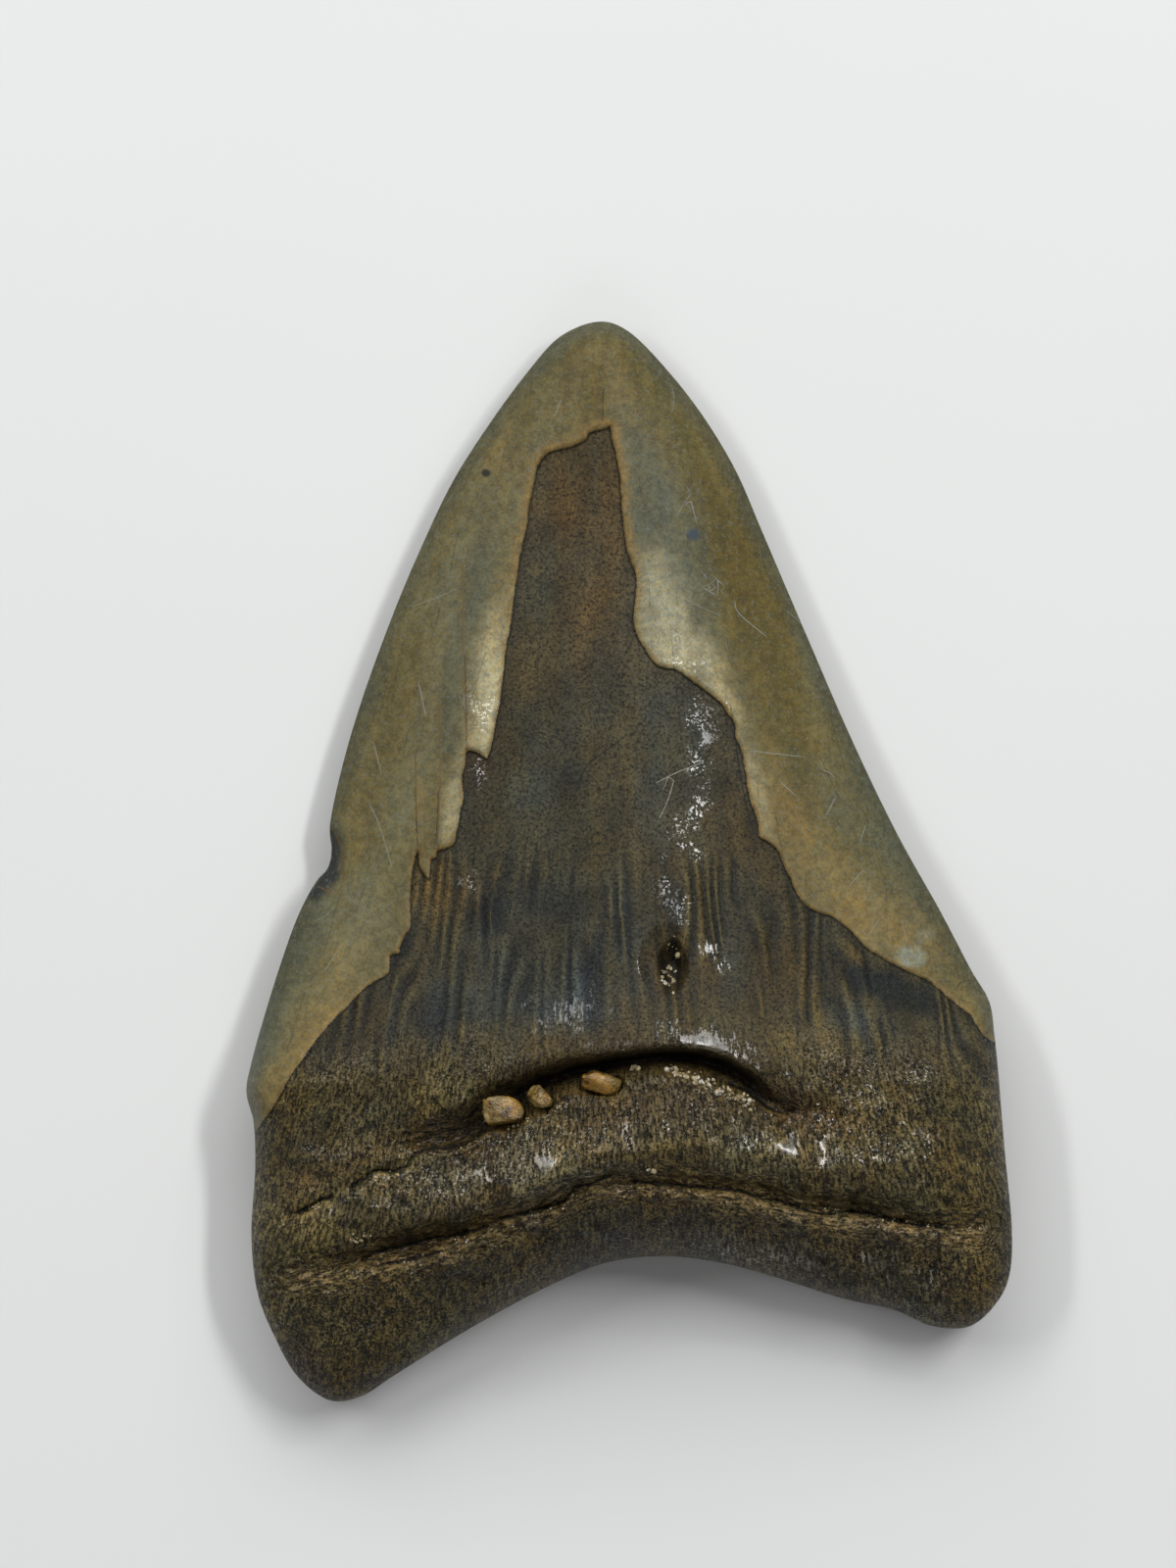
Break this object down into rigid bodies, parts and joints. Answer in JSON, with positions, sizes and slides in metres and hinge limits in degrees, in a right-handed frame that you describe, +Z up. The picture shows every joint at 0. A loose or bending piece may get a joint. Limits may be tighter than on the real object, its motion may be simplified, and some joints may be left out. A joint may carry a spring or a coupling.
{
  "type": "megalodon tooth",
  "caption": "Fossil shark tooth with a pointed enamelled crown, a bare patch where enamel has flaked, and a lobed, furrowed root with lodged pebbles.",
  "frame": {"origin": "middle of the bounding box in plan, on the surface that the flat side rests on", "axes": "+Z up out of the domed side, +Y towards the tip, +X to the right with the tip pointing away"},
  "size_m": [0.0615, 0.0869, 0.0168],
  "materials": {
    "fossil_tooth": "polished",
    "tan_pebble": "satin"
  },
  "bodies": {
    "root": {"tooth": "fossil_tooth", "pebble_left": "tan_pebble", "pebble_middle": "tan_pebble", "pebble_right": "tan_pebble"}
  },
  "joints": []
}
